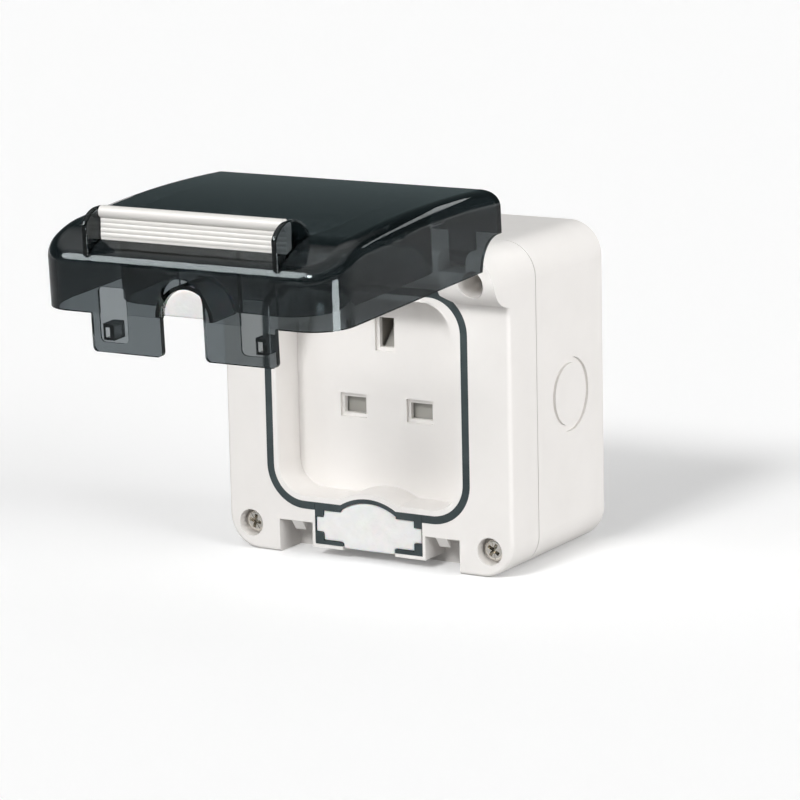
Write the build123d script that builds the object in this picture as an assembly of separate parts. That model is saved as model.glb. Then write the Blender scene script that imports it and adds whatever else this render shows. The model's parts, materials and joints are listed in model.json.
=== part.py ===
from build123d import *
import math
import os

os.makedirs("parts", exist_ok=True)

# Outdoor weatherproof socket, surface mounted, with a hinged smoked lid.
# Every length is in millimetres and is read as on a drawing: x from the middle, y back
# from the front plane, z up from the bottom edge. write() moves the finished pieces to
# the row frame, whose origin is the centre of the wall face.

# Allowances for cutting and joining, and the usual fits
overrun = 1.0
sink = 0.5
loose_fit = 0.3
close_fit = 0.2

# Housing
body_width = 95.0
body_height = 94.3
body_depth = 55.8
corner_radius = 10.0
body_wall = 3.0
front_wall = 2.6
back_wall = 3.0
edge_round = 1.2
frame_depth = 15.2
seam_gap = 0.3
seal_width = 1.5
seal_groove_depth = 1.5

# Knock-outs, one in each side wall of the box
knockout_outer_radius = 10.8
knockout_inner_radius = 9.05
knockout_groove_depth = 0.8
knockout_y = 35.2

# Wall fixings in the back
wall_hole_radius = 2.3
wall_hole_spacing_x = 64.0
wall_hole_spacing_z = 64.0

# Cover screws
screw_side_inset = 7.5
screw_top_inset = 8.8
screw_x = body_width / 2 - screw_side_inset
screw_low_z = 7.7
screw_high_z = body_height - screw_top_inset
screw_head_radius = 3.25
screw_head_height = 2.3
screw_head_depth = 2.2
screw_head_round = 0.9
screw_shank_radius = 1.9
screw_length = 26.0
screw_clearance = 0.05
screw_hole_clearance = 0.2
counterbore_radius = 4.0
boss_radius = 5.2
cross_width = 1.0
cross_length = 4.4
cross_depth = 1.3

# Hood that covers the hinge along the top of the front frame
hood_depth = 8.5
hood_height = 16.0
hood_foot_z = body_height - hood_height
hood_foot_slope = 13.0
hood_round = 8.5
hood_bar_round = 6.0
hood_top_round = 3.0
hood_ring_clearance = 2.0
hood_wall = 2.3
hood_core_margin = 0.3

# Gasket ring and the socket recess inside it
ring_low = 13.75
ring_top_inset = 12.75
ring_high = body_height - ring_top_inset
ring_half = (ring_high - ring_low) / 2
ring_z = (ring_high + ring_low) / 2
ring_radius = 12.5
gasket_width = 2.35
rim_width = 1.55
recess_depth = 11.8
face_thickness = 2.5
flange_margin = 1.3
flange_thickness = 2.2
guide_thickness = 1.5
guide_height = 13.65
guide_run = 2.8
guide_radius = 9.8
guide_top_drop = 0.3

# Cable seal at the bottom of the front
arch_centre_z = 1.0
foam_arch_radius = 16.4
rubber_thickness = 1.3
foam_depth = 8.2
foam_end_low = 7.4
foam_end_high = 11.9
foam_step_inset = 2.8
foam_step_low = 5.0
foam_step_high = 13.9
foam_middle_half = 9.2
foam_low = 3.3
foam_clearance = 0.05
seal_box_half = 18.0
seal_box_wall = 0.9
seal_floor_low = 2.8
seal_floor_thickness = 1.0
seal_floor_gap_half = 8.8

# Latch notches beside the cable seal
notch_top = 9.9
notch_depth = 11.2
notch_wall = 2.0
nib_x = 24.2
nib_width = 3.6
nib_length = 2.2
nib_drop = 3.0

# Pin apertures, to the standard spacing of a 13 A flat-pin socket
pin_spacing = 22.2
pin_drop = 4.6
pin_z = ring_z - pin_drop
line_slot_width = 7.2
line_slot_height = 4.8
line_surround_width = 8.9
line_surround_height = 6.9
earth_slot_width = 4.8
earth_slot_height = 8.7
earth_surround_width = 6.8
earth_surround_height = 10.8
surround_depth = 1.0

# Socket base with its shutter, contacts and terminals
base_half_x = 26.0
base_below_pins = 16.0
base_above_pins = 31.0
base_low_z = pin_z - base_below_pins
base_high_z = pin_z + base_above_pins
base_depth = 22.0
base_radius = 3.0
shutter_gap = 0.5
shutter_thickness = 2.2
shutter_travel = 6.2
shutter_half_x = 17.0
shutter_cover = 1.1
shutter_stem_half = 2.9
shutter_side_clearance = 0.4
ramp_length = 7.4
ramp_drop = 0.8
ramp_extra_rise = 0.4
ramp_tip = 1.5
ramp_toe = 2.5
ramp_inset = 0.6
ramp_flat = 1.0
ramp_room = 4.0
spring_radius = 2.0
spring_wire = 0.4
spring_turns = 6
spring_length = 9.0
contact_leaf = 0.8
contact_grip = 4.1
contact_length = 12.0
contact_start = 8.6
contact_width = 6.6
earth_contact_width = 8.2
contact_room = 0.3
terminal_size = 8.0
terminal_depth = 8.5
terminal_wire_radius = 2.1
wire_clearance = 0.4
line_terminal_gap = 0.8
earth_terminal_gap = 0.6
terminal_screw_radius = 1.5
terminal_screw_length = 5.0
terminal_head_radius = 2.4
terminal_head_height = 1.6
terminal_screw_stand = 0.6
screw_slot_half = 0.4
screw_end_clearance = 1.0
base_screw_x = 21.5
base_screw_rise = 14.0
base_screw_z = pin_z + base_screw_rise
base_screw_radius = 1.45
base_head_radius = 2.7
base_boss_radius = 3.0
base_boss_length = 6.0
plate_screw_x = (ring_half + body_width / 2 - body_wall) / 2
plate_screw_reach = 15.5
plate_boss_radius = 2.7
plate_boss_length = 5.4
plate_ear_thickness = 2.5

# Hinge
hinge_y = -0.43
hinge_top_inset = 2.97
hinge_z = body_height - hinge_top_inset
lid_open_angle = 87.2
hinge_pin_radius = 1.25
hinge_running_clearance = 0.05
arm_side_inset = 10.3
arm_width = 8.0
arm_outer_x = body_width / 2 - arm_side_inset
arm_inner_x = arm_outer_x - arm_width
arm_barrel_radius = 2.3
arm_root = 3.0
arm_side_clearance = 0.4
arm_swing_clearance = 0.35
pin_hold_length = 4.0
pin_bore_extra = 2.0

# Lid, drawn in its closed place; its stock runs behind the rim before the rim is cut
lid_stock_back = 12.0
lid_side_inset = 0.3
lid_half_width = body_width / 2 - lid_side_inset
lid_bottom = 0.3
lid_top_inset = 3.9
lid_top = body_height - lid_top_inset
lid_gap = 0.3
lid_wall = 2.0
lid_corner_radius = 10.5
lid_top_corner_radius = 1.5
lip_depth = 15.2
chin_y = 15.9
cheek_round = 30.0
slope_y = 21.6
slope_z = 12.5
crown_y = 23.1
crown_z = (slope_z + lid_top) / 2
lid_top_y = 21.2
lid_round = 5.0
hood_lid_clearance = 0.5
end_wall_clearance = 0.4
rib_thickness = 1.6
rib_gasket_gap = 0.3

# Latch tongues and the cable cut between them
tongue_inner = 6.9
tongue_outer = 29.1
tongue_clearance = 1.1
tongue_reach = 10.2
tongue_thickness = 1.7
tongue_corner = 1.5
tongue_pocket_half = 4.5
tongue_pocket_x = 22.4
tongue_pocket_depth = 0.5
tongue_pocket_reach = 7.6
cable_arch_y = -4.7
lug_width = 3.4
lug_start = 2.5
lug_length = 4.5
lug_wall = 0.8
lug_clearance = 0.35
lid_foam_radius = 7.9
lid_foam_start = 3.8
lid_foam_end = 13.4
cradle_thickness = 1.2

# Finger grip on the lid's lower edge
ear_inner = 29.1
ear_thickness = 1.7
ear_edge_round = 0.6
ear_tip_y = 15.7
ear_low_z = 0.5
ear_low_round_y = 24.0
ear_front_y = 27.8
ear_front_z = 7.8
ear_bulge_y = 26.7
ear_bulge_low_z = 3.1
ear_bulge_high_z = 13.1
ear_back_y = 22.0
ear_back_z = 17.4
grip_end_clearance = 0.2
grip_start_y = 18.7
grip_start_z = 6.9
grip_end_y = 26.5
grip_end_z = 7.6
grip_thickness = 2.2
grip_bead_radius = 1.7
grip_bead_sink = 0.4
grip_rib_count = 4
grip_rib_first = 1.6
grip_rib_pitch = 1.3
grip_rib_radius = 1.1
grip_rib_height = 0.18
shelf_thickness = 1.8
shelf_gap = 0.05
shelf_root = 2.5


def front_prism(outline, y_near, y_far):
    """Extrude an outline drawn in x and z from y_near back to y_far."""
    plane = Plane(origin=(0, y_far, 0), x_dir=(1, 0, 0), z_dir=(0, -1, 0))
    return extrude(plane * outline, amount=y_far - y_near)


def side_prism(outline, x_left, x_right):
    """Extrude an outline drawn in y and z from x_left to x_right."""
    plane = Plane(origin=(x_left, 0, 0), x_dir=(0, 1, 0), z_dir=(1, 0, 0))
    return extrude(plane * outline, amount=x_right - x_left)


def top_prism(outline, z_low, z_high):
    """Extrude an outline drawn in x and y from z_low up to z_high."""
    return extrude(Plane.XY.offset(z_low) * outline, amount=z_high - z_low)


def block(x_low, x_high, y_low, y_high, z_low, z_high):
    """A plain block between the given limits."""
    middle = ((x_low + x_high) / 2, (y_low + y_high) / 2, (z_low + z_high) / 2)
    return Pos(*middle) * Box(x_high - x_low, y_high - y_low, z_high - z_low)


def rounded(width, height, radius, z, x=0.0):
    """A rectangle with round corners, centred at x and z."""
    return Pos(x, z) * RectangleRounded(width, height, radius)


def rod_along_y(radius, x, z, y_near, y_far):
    """A round rod from y_near to y_far."""
    return front_prism(Pos(x, z) * Circle(radius), y_near, y_far)


def rod_along_x(radius, y, z, x_left, x_right):
    """A round rod from x_left to x_right."""
    return side_prism(Pos(y, z) * Circle(radius), x_left, x_right)


def both_sides(shape):
    """The shape and its mirror image across the middle."""
    return shape + mirror(shape, about=Plane.YZ)


def shape_between(points):
    """A filled outline through the given points."""
    return make_face(Polyline(*points, close=True))


def write(name, *solids):
    """Write one piece, or one group of equal pieces, in the row frame."""
    to_frame = Pos(0, -body_depth, -body_height / 2)
    pieces = [to_frame * solid for solid in solids]
    group = pieces[0] if len(pieces) == 1 else Compound(children=pieces)
    export_step(group, "parts/" + name + ".step")


# Places that several pieces share
seam_y = frame_depth + seam_gap
middle_z = body_height / 2
notch_outer = tongue_outer + tongue_clearance
foam_end_half = seal_box_half - loose_fit
foam_step_half = seal_box_half - foam_step_inset
ring_inner_half = ring_half - gasket_width
recess_half = ring_inner_half - rim_width
ring_inner_radius = ring_radius - gasket_width
recess_radius = ring_inner_radius - rim_width
ring_top = ring_z + ring_half
ring_bottom = ring_z - ring_half
recess_top = ring_z + recess_half
face_back = recess_depth + face_thickness
rubber_arch_radius = foam_arch_radius + rubber_thickness
rim_arch_radius = rubber_arch_radius + rim_width
screw_seat = screw_head_depth + screw_head_height
screw_places = [(side * screw_x, z) for side in (-1, 1) for z in (screw_low_z, screw_high_z)]
earth_z = pin_z + pin_spacing
line_x = pin_spacing / 2
arm_slot_inner = arm_inner_x - arm_side_clearance
arm_slot_outer = arm_outer_x + arm_side_clearance
arm_slot_low = hinge_z - arm_barrel_radius - arm_swing_clearance
arm_slot_back = hinge_y + arm_barrel_radius + arm_swing_clearance
hinge_bore_radius = hinge_pin_radius + hinge_running_clearance
grip_half = ear_inner - grip_end_clearance
pin_inner_end = arm_slot_inner - pin_hold_length
pin_outer_end = arm_slot_outer + pin_hold_length
hood_cheek_x = arm_slot_inner + close_fit
hood_core_x = pin_inner_end - hood_core_margin
guide_start_z = recess_top - guide_height


def body_outline(inset=0.0):
    """The housing's outline from the front, drawn in by inset."""
    width = body_width - 2 * inset
    height = body_height - 2 * inset
    return rounded(width, height, corner_radius - inset, middle_z)


def ring_outline(grow=0.0):
    """The gasket's outer outline, grown by grow (negative draws it in)."""
    side = 2 * (ring_half + grow)
    return rounded(side, side, ring_radius + grow, ring_z)


def arch_disc(radius):
    """The disc whose top forms the arch over the cable seal."""
    return Pos(0, arch_centre_z) * Circle(radius)


def arched_ring_outline(grow, arch_radius):
    """The ring outline with the arch taken out of its bottom run."""
    return ring_outline(grow) - arch_disc(arch_radius)


def make_back_box():
    """The box behind the front frame, with its screw posts, knock-outs and wall holes."""
    box = front_prism(body_outline(), seam_y, body_depth)
    rear_edges = box.faces().sort_by(Axis.Y)[-1].edges()
    box = fillet(rear_edges, edge_round)
    box -= front_prism(body_outline(body_wall), seam_y, body_depth - back_wall)
    for x, z in screw_places:
        post = rod_along_y(boss_radius, x, z, seam_y, body_depth - back_wall)
        box += post & front_prism(body_outline(body_wall / 2), seam_y, body_depth - back_wall)
    for x, z in screw_places:
        box -= rod_along_y(
            screw_shank_radius + screw_clearance, x, z, seam_y, screw_seat + screw_length + overrun
        )
    for knockout in knockout_grooves():
        box -= knockout
    for side_x in (-1, 1):
        for side_z in (-1, 1):
            x = side_x * wall_hole_spacing_x / 2
            z = middle_z + side_z * wall_hole_spacing_z / 2
            box -= rod_along_y(
                wall_hole_radius, x, z, body_depth - back_wall - overrun, body_depth + overrun
            )
    return box


def knockout_grooves():
    """The four round grooves that mark where a cable entry is broken out."""
    ring = Circle(knockout_outer_radius) - Circle(knockout_inner_radius)
    side_plane = Plane(origin=(body_width / 2 + overrun, 0, 0), x_dir=(0, 1, 0), z_dir=(1, 0, 0))
    side_groove = extrude(
        side_plane * (Pos(knockout_y, middle_z) * ring), amount=-(knockout_groove_depth + overrun)
    )
    top_groove = top_prism(
        Pos(0, knockout_y) * ring, body_height - knockout_groove_depth, body_height + overrun
    )
    bottom_groove = top_prism(Pos(0, knockout_y) * ring, -overrun, knockout_groove_depth)
    return [side_groove, mirror(side_groove, about=Plane.YZ), top_groove, bottom_groove]


def hood_profile(foot_z, slope_degrees, round_radius, grow=0.0, reach=0.0):
    """The hood from the side: a foot line, a large round, the face and a round top edge."""
    face_y = -hood_depth - grow
    foot = foot_z - grow
    back_y = front_wall + reach
    slope = math.tan(math.radians(slope_degrees))
    top = body_height + reach
    points = [
        (back_y, foot),
        (0.0, foot),
        (face_y, foot + slope * -face_y),
        (face_y, top),
        (back_y, top),
    ]
    outline = shape_between(points)
    corner = outline.vertices().sort_by_distance(Vertex(face_y, foot + slope * -face_y, 0))[0]
    outline = fillet(corner, round_radius + grow)
    if reach == 0.0:
        upper = outline.vertices().sort_by_distance(Vertex(face_y, top, 0))[0]
        outline = fillet(upper, hood_top_round)
    return outline


def make_hood():
    """The hood along the top: a bar across the middle and two deeper cheeks."""
    half = body_width / 2
    bar_low = ring_top + hood_ring_clearance
    bar = side_prism(hood_profile(bar_low, 0.0, hood_bar_round), -half, half)
    cheeks = both_sides(
        side_prism(hood_profile(hood_foot_z, hood_foot_slope, hood_round), hood_cheek_x, half)
    )
    hood = bar + cheeks
    hood -= front_prism(ring_outline(hood_ring_clearance), -hood_depth - overrun, 0)
    hood -= front_prism(ring_outline(0), -overrun, front_wall + overrun)
    return hood & front_prism(body_outline(), -hood_depth - overrun, front_wall)


def make_front_frame():
    """The front frame with hood, screw bosses, seal box, latch notches and hinge slots."""
    frame = front_prism(body_outline(), 0, frame_depth)
    frame = fillet(frame.faces().sort_by(Axis.Y)[0].edges(), edge_round)
    shell = frame
    frame -= front_prism(body_outline(body_wall), front_wall, frame_depth)
    frame += make_hood()
    for x, z in screw_places:
        frame += rod_along_y(boss_radius, x, z, front_wall / 2, frame_depth) & shell
    for x, z in plate_screw_places():
        frame += rod_along_y(plate_boss_radius, x, z, front_wall / 2, front_wall + plate_boss_length)
    house_back = notch_depth + notch_wall
    house_half = notch_outer + notch_wall
    frame += block(
        -house_half, house_half, front_wall / 2, house_back, body_wall / 2, notch_top + notch_wall
    )
    seal_house_half = seal_box_half + seal_box_wall
    frame += block(
        -seal_house_half, seal_house_half, front_wall / 2, house_back, body_wall / 2, ring_bottom
    )
    arch_back = front_prism(
        arch_disc(rubber_arch_radius - foam_clearance), seal_cavity_back(), house_back
    )
    frame += arch_back & block(
        -seal_box_half, seal_box_half, 0, house_back, body_wall / 2, body_height
    )
    frame -= front_prism(ring_outline(), -overrun, front_wall)
    frame -= seal_cavity()
    frame -= block(
        -notch_outer, notch_outer, -overrun, notch_depth, -overrun, seal_floor_low
    )
    frame -= both_sides(block(seal_house_half, notch_outer, -overrun, notch_depth, -overrun, notch_top))
    frame += both_sides(latch_nib())
    frame -= block(
        -seal_floor_gap_half, seal_floor_gap_half, -overrun, seal_cavity_back(), 0, foam_step_low
    )
    for x, z in screw_places:
        frame -= rod_along_y(counterbore_radius, x, z, -hood_depth - overrun, screw_seat)
        frame -= rod_along_y(screw_shank_radius + screw_hole_clearance, x, z, 0, frame_depth + overrun)
    for x, z in plate_screw_places():
        frame -= rod_along_y(
            base_screw_radius + screw_clearance,
            x,
            z,
            front_wall,
            front_wall + plate_boss_length + overrun,
        )
    frame -= seal_channel(frame_depth - seal_groove_depth, frame_depth + overrun)
    slot = block(
        arm_slot_inner,
        arm_slot_outer,
        -hood_depth - overrun,
        arm_slot_back,
        arm_slot_low,
        body_height + overrun,
    )
    bore = rod_along_x(
        hinge_pin_radius + screw_clearance,
        hinge_y,
        hinge_z,
        pin_inner_end - pin_bore_extra,
        pin_outer_end,
    )
    frame -= both_sides(slot) + both_sides(bore)
    core_low = ring_top + hood_ring_clearance + hood_wall
    core_high = hinge_z + hinge_pin_radius + screw_clearance
    core_front = -hood_depth + hood_wall
    frame -= block(-hood_core_x, hood_core_x, core_front, front_wall + overrun, core_low, core_high)
    return frame


def hood_zone():
    """All of the front frame from the hood's foot up, which is written as a piece of its own."""
    return block(
        -body_width, body_width, -hood_depth - overrun, frame_depth + overrun, hood_foot_z,
        body_height + overrun
    )


def seal_cavity_back():
    """Depth of the seal box, which holds the rubber's back wall behind the foam."""
    return foam_depth + rubber_thickness


def seal_cavity():
    """The space of the rubber holder, cut into the front frame."""
    low = seal_floor_low + seal_floor_thickness
    outline = Pos(0, (low + ring_bottom + gasket_width) / 2) * Rectangle(
        2 * seal_box_half, ring_bottom + gasket_width - low
    )
    arch = arch_disc(rubber_arch_radius) & shape_between(
        [
            (-seal_box_half, low),
            (seal_box_half, low),
            (seal_box_half, body_height),
            (-seal_box_half, body_height),
        ]
    )
    return front_prism(outline + arch, -overrun, seal_cavity_back())


def latch_nib():
    """The wedge that hangs in a latch notch, with a ramp towards the front."""
    ramp = shape_between(
        [(0, notch_top + overrun), (0, notch_top), (nib_length, notch_top - nib_drop),
         (nib_length, notch_top + overrun)]
    )
    return side_prism(ramp, nib_x - nib_width / 2, nib_x + nib_width / 2)


def seal_channel(y_near, y_far):
    """The ring that the body seal fills, midway in the housing wall."""
    edge = (body_wall - seal_width) / 2
    outline = body_outline(edge) - body_outline(edge + seal_width)
    return front_prism(outline, y_near, y_far)


def plate_screw_places():
    """Where the socket plate is screwed to the front frame from behind."""
    return [
        (side_x * plate_screw_x, ring_z + side_z * plate_screw_reach)
        for side_x in (-1, 1)
        for side_z in (-1, 1)
    ]


def make_face_gasket():
    """The rubber ring round the recess, open at the bottom where the cable seal sits."""
    outline = ring_outline(-foam_clearance) - ring_outline(-gasket_width + foam_clearance)
    gasket = front_prism(outline, 0, front_wall)
    opening = seal_box_half + foam_clearance
    return gasket - block(-opening, opening, -overrun, front_wall + overrun, 0, ring_z)


def foam_outline(grow=0.0):
    """The foam block from the front: stepped ends and an arched middle."""
    ends = shape_from_limits(foam_end_half, foam_end_low, foam_end_high, grow)
    steps = shape_from_limits(foam_step_half, foam_step_low, foam_step_high, grow)
    column = shape_from_limits(foam_middle_half, foam_step_low, rubber_arch_radius, grow)
    arch = arch_disc(foam_arch_radius + grow) & column
    foot = shape_from_limits(seal_floor_gap_half - close_fit, foam_low, foam_step_low + overrun, grow)
    return ends + steps + arch + foot


def shape_from_limits(half_x, low, high, grow):
    """A rectangle across the middle from low to high, grown by grow."""
    return Pos(0, (low + high) / 2) * Rectangle(2 * (half_x + grow), high - low + 2 * grow)


def make_foam_block():
    """The white foam that closes round the cable from the housing side."""
    return front_prism(foam_outline(), 0, foam_depth)


def make_foam_holder():
    """The rubber tray that carries the foam and joins the ends of the gasket ring."""
    holder = seal_cavity() & block(
        -body_width, body_width, 0, seal_cavity_back(), -overrun, body_height
    )
    slim = front_prism(
        shape_from_limits(
            seal_box_half - foam_clearance,
            seal_floor_low + seal_floor_thickness + foam_clearance,
            rim_arch_radius + arch_centre_z,
            0.0,
        ),
        0,
        seal_cavity_back(),
    )
    holder &= slim
    plate_space = ring_outline(-gasket_width) - arch_disc(rubber_arch_radius)
    holder -= front_prism(plate_space, -overrun, face_back)
    holder -= front_prism(foam_outline(foam_clearance), -overrun, foam_depth)
    floor_gap = seal_floor_gap_half
    return holder - block(-floor_gap, floor_gap, -overrun, foam_depth, 0, foam_step_low)


def make_socket_plate():
    """The recessed plate with its rim, side walls, guide corners and pin apertures."""
    tub = front_prism(arched_ring_outline(-gasket_width, rubber_arch_radius), 0, face_back)
    recess = arched_ring_outline(-gasket_width - rim_width, rim_arch_radius)
    tub -= front_prism(recess, -overrun, recess_depth)
    flange = front_prism(ring_outline(flange_margin), front_wall, front_wall + flange_thickness)
    seal_half = seal_box_half + seal_box_wall + loose_fit
    flange -= block(-seal_half, seal_half, 0, front_wall + flange_thickness + overrun, 0, ring_z)
    flange -= front_prism(ring_outline(-gasket_width - loose_fit), 0, face_back)
    plate = tub + flange
    ear_y = front_wall + plate_boss_length
    for x, z in plate_screw_places():
        plate -= rod_along_y(plate_boss_radius + loose_fit, x, z, front_wall - overrun, ear_y)
    ear_half = plate_screw_x + plate_boss_radius
    for side_z in (-1, 1):
        z = ring_z + side_z * plate_screw_reach
        ear = block(
            ring_inner_half - sink,
            ear_half,
            ear_y,
            ear_y + plate_ear_thickness,
            z - plate_boss_radius,
            z + plate_boss_radius,
        )
        plate += both_sides(ear)
    for x, z in plate_screw_places():
        plate -= rod_along_y(
            base_screw_radius + screw_hole_clearance,
            x,
            z,
            0,
            ear_y + plate_ear_thickness + overrun,
        )
    plate += both_sides(guide_corner())
    for side_x in (-1, 1):
        x = side_x * base_screw_x
        plate += rod_along_y(
            base_boss_radius, x, base_screw_z, recess_depth + sink, face_back + base_boss_length
        )
        plate -= rod_along_y(
            base_screw_radius + screw_clearance,
            x,
            base_screw_z,
            face_back - sink,
            face_back + base_boss_length + overrun,
        )
    for x, z, slot_w, slot_h, wide, high in aperture_sizes():
        plate -= front_prism(Pos(x, z) * Rectangle(slot_w, slot_h), 0, face_back + overrun)
        plate -= front_prism(
            Pos(x, z) * Rectangle(wide, high), recess_depth - overrun, recess_depth + surround_depth
        )
    return plate


def aperture_sizes():
    """Place, slot size and surround size of the three pin apertures."""
    line = (line_slot_width, line_slot_height, line_surround_width, line_surround_height)
    earth = (earth_slot_width, earth_slot_height, earth_surround_width, earth_surround_height)
    return [(-line_x, pin_z) + line, (line_x, pin_z) + line, (0.0, earth_z) + earth]


def guide_corner():
    """The raised corner that guides a plug past the upper cover screw."""
    inner_x = recess_half - guide_thickness
    centre = (inner_x - guide_radius, recess_top - guide_radius)
    outline = shape_between(
        [
            (recess_half + sink, guide_start_z),
            (inner_x, guide_start_z + guide_run),
            (inner_x, centre[1]),
            (centre[0], centre[1]),
            (centre[0], recess_top + sink),
            (recess_half + sink, recess_top + sink),
        ]
    )
    outline -= Pos(*centre) * Circle(guide_radius)
    outline &= ring_outline(-gasket_width - close_fit)
    return front_prism(outline, guide_top_drop, recess_depth + sink)


def base_back():
    """The rear face of the socket base."""
    return face_back + base_depth


def shutter_front():
    """The front face of the shutter."""
    return face_back + shutter_gap


def shutter_back():
    """The rear face of the shutter's plate."""
    return shutter_front() + shutter_thickness


def shutter_bar_limits():
    """Lower and upper edge of the bar that covers the live and neutral slots."""
    return (
        pin_z - line_slot_height / 2 - shutter_cover,
        pin_z + line_slot_height / 2 + shutter_cover,
    )


def make_socket_base():
    """The moulding behind the plate that carries shutter, contacts and terminals."""
    height = base_high_z - base_low_z
    outline = rounded(2 * base_half_x, height, base_radius, (base_low_z + base_high_z) / 2)
    base = front_prism(outline, face_back, base_back())
    low, high = shutter_bar_limits()
    side = shutter_side_clearance
    room_back = shutter_back() + side
    base -= block(
        -shutter_half_x - side, shutter_half_x + side, face_back - overrun, room_back,
        low - shutter_travel - side, high + side
    )
    stem = shutter_stem_half + side
    stem_top = earth_z + earth_slot_height / 2 + overrun
    base -= block(-stem, stem, face_back - overrun, room_back, high - overrun, stem_top)
    ramp_back = shutter_front() + ramp_length + side
    ramp_low = earth_z - earth_slot_height / 2 - shutter_travel - ramp_room
    base -= block(
        -stem, stem, face_back - overrun, ramp_back, ramp_low, stem_top
    )
    pocket = spring_radius + spring_wire + loose_fit
    base -= block(
        -pocket, pocket, face_back - overrun, shutter_front() + 2 * pocket, spring_seat(), low + overrun
    )
    for x, z, half_x, half_z in contact_pockets():
        base -= block(
            x - half_x, x + half_x, face_back + contact_start - sink, base_back() + overrun,
            z - half_z, z + half_z
        )
    for x, z, slot_w, slot_h, wide, high in aperture_sizes():
        half_x = slot_w / 2 + close_fit
        half_z = slot_h / 2 + close_fit
        base -= block(
            x - half_x, x + half_x, shutter_back(), face_back + contact_start, z - half_z, z + half_z
        )
    for x, z in terminal_places():
        room = terminal_size / 2 + contact_room
        base -= block(
            x - room, x + room, base_back() - terminal_depth - contact_room, base_back() + overrun,
            z - room, z + room
        )
        base -= top_prism(
            Pos(x, terminal_y()) * Circle(terminal_wire_radius + wire_clearance), base_low_z - overrun, z
        )
    for side_x in (-1, 1):
        x = side_x * base_screw_x
        base -= rod_along_y(
            base_boss_radius + close_fit, x, base_screw_z, face_back - overrun,
            face_back + base_boss_length + loose_fit
        )
        base -= rod_along_y(
            base_screw_radius + screw_hole_clearance,
            x,
            base_screw_z,
            face_back,
            base_back() + overrun,
        )
    return base


def contact_pockets():
    """Place and half sizes of the pockets that hold the three contacts."""
    across = contact_grip / 2 + contact_leaf + contact_room
    line = (contact_width / 2 + contact_room, across)
    earth = (across, earth_contact_width / 2 + contact_room)
    return [(-line_x, pin_z) + line, (line_x, pin_z) + line, (0.0, earth_z) + earth]


def terminal_places():
    """Live, neutral and earth terminals, each beside its contact at the back."""
    gap = contact_width / 2 + terminal_size / 2
    side = earth_contact_width / 2 + terminal_size / 2
    return [
        (line_x, pin_z - gap - line_terminal_gap),
        (-line_x, pin_z - gap - line_terminal_gap),
        (0.0, earth_z - side - earth_terminal_gap),
    ]


def terminal_y():
    """The depth of the terminals' wire holes."""
    return base_back() - terminal_depth / 2


def spring_seat():
    """The floor of the shutter spring's pocket."""
    return shutter_bar_limits()[0] - spring_length


def make_shutter():
    """The sliding shutter: a bar over two slots, a stem and the ramp for the earth pin."""
    low, high = shutter_bar_limits()
    bar = block(-shutter_half_x, shutter_half_x, shutter_front(), shutter_back(), low, high)
    ramp_low = earth_z - earth_slot_height / 2 - ramp_drop
    ramp_high = ramp_low + shutter_travel + ramp_extra_rise
    stem = block(
        -shutter_stem_half, shutter_stem_half, shutter_front(), shutter_back(), high - overrun, ramp_low
    )
    wedge = shape_between(
        [
            (shutter_front(), ramp_low - close_fit),
            (shutter_front(), ramp_low),
            (shutter_front() + ramp_length - ramp_flat, ramp_high),
            (shutter_front() + ramp_length, ramp_high),
            (shutter_front() + ramp_length, ramp_high - ramp_tip),
            (shutter_back(), ramp_low - ramp_toe),
        ]
    )
    ramp = side_prism(wedge, -shutter_stem_half + ramp_inset, shutter_stem_half - ramp_inset)
    return bar + stem + ramp


def make_shutter_spring():
    """The compression spring that lifts the shutter back over the slots."""
    low = spring_seat() + spring_wire / 2
    height = spring_length - spring_wire
    centre_y = shutter_front() + spring_radius + spring_wire
    pitch = height / spring_turns
    path = Helix(pitch=pitch, height=height, radius=spring_radius)
    section = Plane(origin=path @ 0, z_dir=path % 0) * Circle(spring_wire / 2)
    coil = sweep(section, path=path, is_frenet=True)
    return Pos(0, centre_y, low) * coil


def make_contact(x, z, earth=False):
    """A brass contact: two leaves that grip the pin, and the web that joins them."""
    start = face_back + contact_start
    end = start + contact_length
    across = contact_grip / 2
    width = earth_contact_width if earth else contact_width
    outer = across + contact_leaf
    if earth:
        body = block(x - outer, x + outer, start, end, z - width / 2, z + width / 2)
        gap = block(x - across, x + across, start - overrun, end - contact_leaf, z - width, z + width)
    else:
        body = block(x - width / 2, x + width / 2, start, end, z - outer, z + outer)
        gap = block(x - width, x + width, start - overrun, end - contact_leaf, z - across, z + across)
    return body - gap


def make_terminal(x, z):
    """A brass terminal block with its wire hole and the thread of its clamping screw."""
    half = terminal_size / 2
    body = block(x - half, x + half, base_back() - terminal_depth, base_back(), z - half, z + half)
    wire_hole = Pos(x, terminal_y()) * Circle(terminal_wire_radius)
    body -= top_prism(wire_hole, z - half - overrun, z + half + overrun)
    return body - rod_along_y(
        terminal_screw_radius + screw_clearance, x, z, terminal_y(), base_back() + overrun
    )


def slotted_screw(x, z, seat_y, radius, length, head_radius, head_height):
    """A screw driven forwards from behind, with a straight slot in its head."""
    screw = rod_along_y(radius, x, z, seat_y - length, seat_y)
    head = rod_along_y(head_radius, x, z, seat_y, seat_y + head_height)
    slot = block(
        x - head_radius - overrun, x + head_radius + overrun, seat_y + head_height / 2,
        seat_y + head_height + overrun, z - screw_slot_half, z + screw_slot_half
    )
    return screw + (head - slot)


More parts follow.
